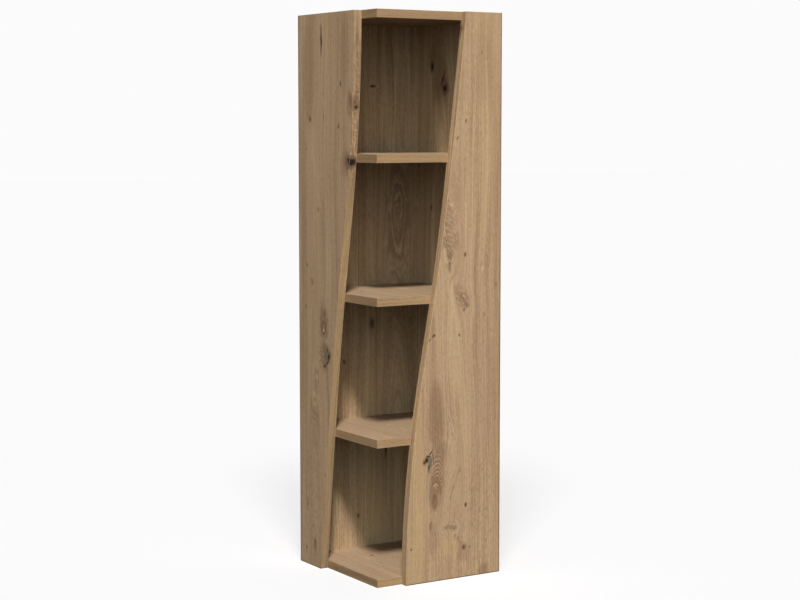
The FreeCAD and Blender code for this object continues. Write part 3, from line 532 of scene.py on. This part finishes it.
MATERIALS = {
    # front panels: the ramps along the height are painted light and shade, lighter towards the top; the left panel's
    # lighter, cooler tint is painted light on the face the lamps light less; the dark line at the bottom is a painted
    # contact shadow, the one at the outer end painted shade along the arris with the banding joint
    "front_panel_right": oak("oak_front_right", "x", "z", 1.3, "y", (-164.5, 1), RIGHT_MARKS, heart=46, depth=4, slope=0.045, top=520, tint=(0.985, 0.985, 0.985), painted_shade_ramp=(250, 0.975, 1150, 1.03),
                             joint_and_shade_lines=[("x", 172.4, 1.0, "y"), ("z", 0.5, 1.7, "y")]),
    "front_panel_left": oak("oak_front_left", "y", "z", 5.9, "x", (-164.5, 1), LEFT_MARKS, heart=100, depth=8, slope=0.04, top=560, tint=(1.05, 1.065, 1.10), painted_shade_ramp=(500, 0.96, 1150, 1.03),
                            joint_and_shade_lines=[("y", 172.6, 1.3, "x"), ("z", 0.5, 1.7, "x")]),
    # back walls: the tint above 1 is painted light on the inner faces, the far-face factor takes it off the outer faces
    # again, and the darkening of the left wall towards the top is painted shade under the top board
    "back_panel_left": oak("oak_back_left", "x", "z", 12.4, "y", (164.5, 1), BACK_LEFT_MARKS, heart=98, depth=10, slope=0.03, top=950, tint=(1.3, 1.3, 1.3), painted_shade_ramp=(900, 1.0, 1150, 0.87), far_face_painted_shade=0.77, contrast=1.35),
    "back_panel_right": oak("oak_back_right", "y", "z", 19.2, "x", (164.5, 1), BACK_RIGHT_MARKS, heart=60, depth=14, slope=0.035, tint=(1.36, 1.36, 1.36), far_face_painted_shade=0.74, contrast=1.35),
}
for k, (name, z) in enumerate(LEVELS.items()):
    s = 26.0 + 6.7 * k
    u0, v0 = [(-40, 60), (70, -30), (-90, 20), (30, 90), (-20, -60)][k]
    # boards: the cooler, greyer tint is a painted sheen in place of the pale reflection on their tops, and the darker
    # undersides are painted shade
    MATERIALS[name] = oak("oak_" + name, "x", "y", s, "z", (z + 9.5, -1),
                          [("pin", u0, v0, 3, 5, 0.8, 0), ("dot", -u0 * 0.8, -v0, 2.5, 6, 0.5, 0), ("dot", -118, -96 + 30 * k, 3, 6, 0.35, 0),
                           ("knot", 613 - u0, 1907 - v0, 6, 10, 0.8, 0)], heart=-60 + 45 * k, depth=18, slope=0.06, tint=(0.92, 0.936, 0.99), far_face_painted_shade=0.65)
    MATERIALS[name + "_edging_left"] = oak("oak_band_" + name + "_left", "z", "y", s + 2.1, marks=[("dot", z + 8, 30 - 22 * k, 2.2, 6, 0.35, 0)], heart=z - 14, depth=6,
                                           slope=0.02, edges=[("z", z), ("z", z + 19.0)], tint=BAND_LEFT, contrast=0.9)
    MATERIALS[name + "_edging_right"] = oak("oak_band_" + name + "_right", "z", "x", s + 4.3, marks=[("dot", z + 11, 10 + 26 * k, 2.2, 6, 0.35, 0)], heart=z - 20, depth=6,
                                            slope=0.02, edges=[("z", z), ("z", z + 19.0)], tint=BAND, contrast=0.9)
band_r = [("crack", -156, 1281, 4.6, 5, 0.8, 0), ("dot", -156, 1273, 6, 14, 0.6, 0), ("pink", -165, 1300, 14, 34, 0.9, 0), ("dot", -168, 648, 2, 4, 0.6, 0), ("dot", -162, 336, 2.5, 8, 0.4, 0),
          ("coarse", -165, 1150, 20, 180, 0.8, 0)]
band_l = [("crack", -163, 1101, 6, 4.4, 0.85, 0), ("dot", -163, 1101, 8, 6, 0.8, 0), ("dot", -168, 1116, 9, 13, 0.6, 0), ("figure", -165, 1080, 14, 200, 0.9, 0),
          ("crack", -168, 976, 14, 10, 1, 0), ("dot", -166, 976, 16, 13, 0.9, 0), ("fleck", -165, 1090, 14, 170, 0.9, 0), ("rings", -165, 1060, 5, 40, 0.35, 0),
          ("rings", -166, 1190, 5, 40, 0.30, 0), ("dot", -163, 526, 2.4, 8, 0.4, 0), ("coarse", -165, 1110, 20, 170, 1.0, 0), ("yellow", -165, 600, 14, 330, 0.7, 0)]
# the curved bands' ramps are painted shade, darker towards the bottom
MATERIALS["front_panel_right_edging_curved"] = oak("oak_band_curve_right", "y", "z", 61.0, marks=band_r, heart=-150, depth=10, slope=0.012, edges=[("y", -174), ("y", -155)], tint=CURVE_RIGHT, painted_shade_ramp=(90, 0.94, 450, 1.14), contrast=1.1)
MATERIALS["front_panel_left_edging_curved"] = oak("oak_band_curve_left", "x", "z", 67.0, marks=band_l, heart=-150, depth=10, slope=0.012, edges=[("x", -174), ("x", -155)],
                                                  tint=CURVE_LEFT_SHADED, painted_shade_ramp=(250, 0.82, 1150, 1.10), contrast=1.4)
# the dark line on the outer bands is painted shade along the outer arris, together with the banding joint
for name, u, v, e in (("front_panel_right_edging_top", "y", "x", [("y", -174), ("y", -155)]), ("front_panel_left_edging_top", "x", "y", [("x", -174), ("x", -155)]),
                      ("front_panel_right_edging_outer", "y", "z", [("y", -174), ("y", -155)]), ("front_panel_left_edging_outer", "x", "z", [("x", -174), ("x", -155)]),
                      ("back_panel_left_edging_top", "y", "x", [("y", 155), ("y", 174)]), ("back_panel_right_edging_top", "x", "y", [("x", 155), ("x", 174)]),
                      ("back_panel_right_edging_rear", "x", "z", [("x", 155), ("x", 174)])):
    MATERIALS[name] = oak("oak_band_" + name, u, v, 73.0 + 3.7 * len(MATERIALS), edges=e, heart=-150 if "front" in name else 150, depth=10, slope=0.012, tint=CURVE_RIGHT, contrast=0.9,
                          joint_and_shade_lines={"front_panel_right_edging_outer": [("x", 173.6, 1.2, "y")], "front_panel_left_edging_outer": [("y", 173.6, 1.2, "x")]}.get(name, ()))
STEEL = zinc("zinc_plated_steel", 3.0, srgb(214, 214, 208), 0.30, 0.35)
MATERIALS["cam_bolts"] = STEEL
MATERIALS["connecting_screws"] = STEEL
MATERIALS["cam_discs"] = zinc("zinc_die_cast", 9.0, srgb(176, 176, 172), 0.42, 0.6)
MATERIALS["wood_dowels"] = beech("beech_dowel")
CAP = plastic("cap_brown")
MATERIALS["cam_cover_caps"] = CAP
MATERIALS["screw_cover_caps"] = CAP

for name, obj in NODES.items():
    for k in range(len(obj.material_slots)):
        obj.material_slots[k].link = "OBJECT"
        obj.material_slots[k].material = MATERIALS[name]

# ---------------------------------------------------------------- floor, light, camera
FLOOR = (0.97, 0.97, 0.98)   # as the camera sees it; a darker grey for the light it throws back
mesh = bpy.data.meshes.new("floor")
E = 30.0
mesh.from_pydata([(-E, -E, 0), (E, -E, 0), (E, E, 0), (-E, E, 0)], [], [(0, 1, 2, 3)])
floor = bpy.data.objects.new("floor", mesh)
bpy.context.scene.collection.objects.link(floor)
fm, nt, b = new_material("floor_paper")
lp = nt.nodes.new("ShaderNodeLightPath")
P, _ = object_mm(nt)
fn = noise(nt, P[0] * 0.003, P[1] * 0.003, 0.0, 2.0, 0.5)
pale = mix_col(nt, fn, (FLOOR[0] - 0.004, FLOOR[1] - 0.004, FLOOR[2] - 0.004, 1.0), (FLOOR[0] + 0.004, FLOOR[1] + 0.004, FLOOR[2] + 0.004, 1.0))
put(nt, b.inputs["Base Color"], mix_col(nt, Sock(nt, lp.outputs["Is Camera Ray"]), (0.09, 0.09, 0.09, 1.0), pale))
b.inputs["Roughness"].default_value = 0.95
b.inputs["Specular IOR Level"].default_value = 0.0
mesh.materials.append(fm)

world = bpy.data.worlds.new("studio")
bpy.context.scene.world = world
world.use_nodes = True
nt = world.node_tree
nt.nodes.clear()
out = nt.nodes.new("ShaderNodeOutputWorld")
bg = nt.nodes.new("ShaderNodeBackground")
lp = nt.nodes.new("ShaderNodeLightPath")
AMBIENT = 0.10
bg.inputs["Color"].default_value = (1.0, 1.0, 1.0, 1.0)
put(nt, bg.inputs["Strength"], mix_f(nt, Sock(nt, lp.outputs["Is Camera Ray"]), AMBIENT, 0.97))
nt.links.new(bg.outputs[0], out.inputs[0])


def sun(name, travel, strength, angle, color=(1, 1, 1)):
    lamp = bpy.data.lights.new(name, "SUN")
    lamp.energy = strength
    lamp.angle = math.radians(angle)
    lamp.color = color
    o = bpy.data.objects.new(name, lamp)
    o.rotation_euler = Vector(travel).to_track_quat("-Z", "Y").to_euler()
    bpy.context.scene.collection.objects.link(o)
    return o


def travel(azimuth, elevation):
    """Direction in which light travels that comes from azimuth (0 from the front, positive from the left) and elevation."""
    a, e = math.radians(azimuth), math.radians(elevation)
    return (math.sin(a) * math.cos(e), math.cos(a) * math.cos(e), -math.sin(e))


def lit_by(lamp, name, objects):
    """Lets the lamp light these objects alone."""
    c = bpy.data.collections.new(name)
    for obj in objects:
        c.objects.link(obj)
    lamp.light_linking.receiver_collection = c


CABINET = list(NODES.values())
WALLS = [NODES["back_panel_left"], NODES["back_panel_right"]]
lit_by(sun("key", travel(32.0, 49.5), 3.68, 7.0), "key_lit", [o for o in CABINET if o not in WALLS])
lit_by(sun("floor_key", travel(32.0, 49.5), 1.38, 24.0), "floor_key_lit", [floor])
floor_fill = sun("floor_fill", travel(32.0, 49.5), 2.30, 24.0)   # keeps the floor pale where the cabinet shades it
floor_fill.data.use_shadow = False
lit_by(floor_fill, "floor_fill_lit", [floor])
lit_by(sun("key_wall", travel(32.0, 49.5), 2.45, 7.0), "key_wall_lit", WALLS[:1])
lit_by(sun("key_spill", travel(32.0, 49.5), 0.7, 24.0), "spill_lit", WALLS[1:])
lit_by(sun("front_fill", travel(14.0, 22.0), 1.00, 60.0, (0.98, 1.0, 1.01)), "fill_lit", [o for o in CABINET if o not in WALLS])
# what the open shelves get from the room, and a low light from behind for the two outer wall faces
lit_by(sun("inside_fill", travel(62.0, 8.0), 2.4, 100.0, (0.81, 1.0, 1.06)), "inside_lit", WALLS)
lit_by(sun("back_fill", travel(218.0, 14.0), 1.8, 30.0), "back_lit", CABINET)

cam_data = bpy.data.cameras.new("camera")
cam_data.sensor_width = 36.0
cam_data.sensor_fit = "HORIZONTAL"
cam_data.lens = 81.65
cam_data.clip_start, cam_data.clip_end = 0.1, 200.0
cam = bpy.data.objects.new("camera", cam_data)
yaw, pitch = math.radians(32.089), math.radians(5.495)
forward = Vector((math.sin(yaw) * math.cos(pitch), math.cos(yaw) * math.cos(pitch), -math.sin(pitch)))
cam.location = (-2.285, -3.650, 1.060)
cam.rotation_mode = "QUATERNION"
cam.rotation_quaternion = forward.to_track_quat("-Z", "Y")
bpy.context.scene.collection.objects.link(cam)
bpy.context.scene.camera = cam

bpy.context.scene.cycles.diffuse_bounces = 1
view = bpy.context.scene.view_settings
view.view_transform = "Standard"
view.look = "None"
view.exposure = 0.0
view.gamma = 1.0
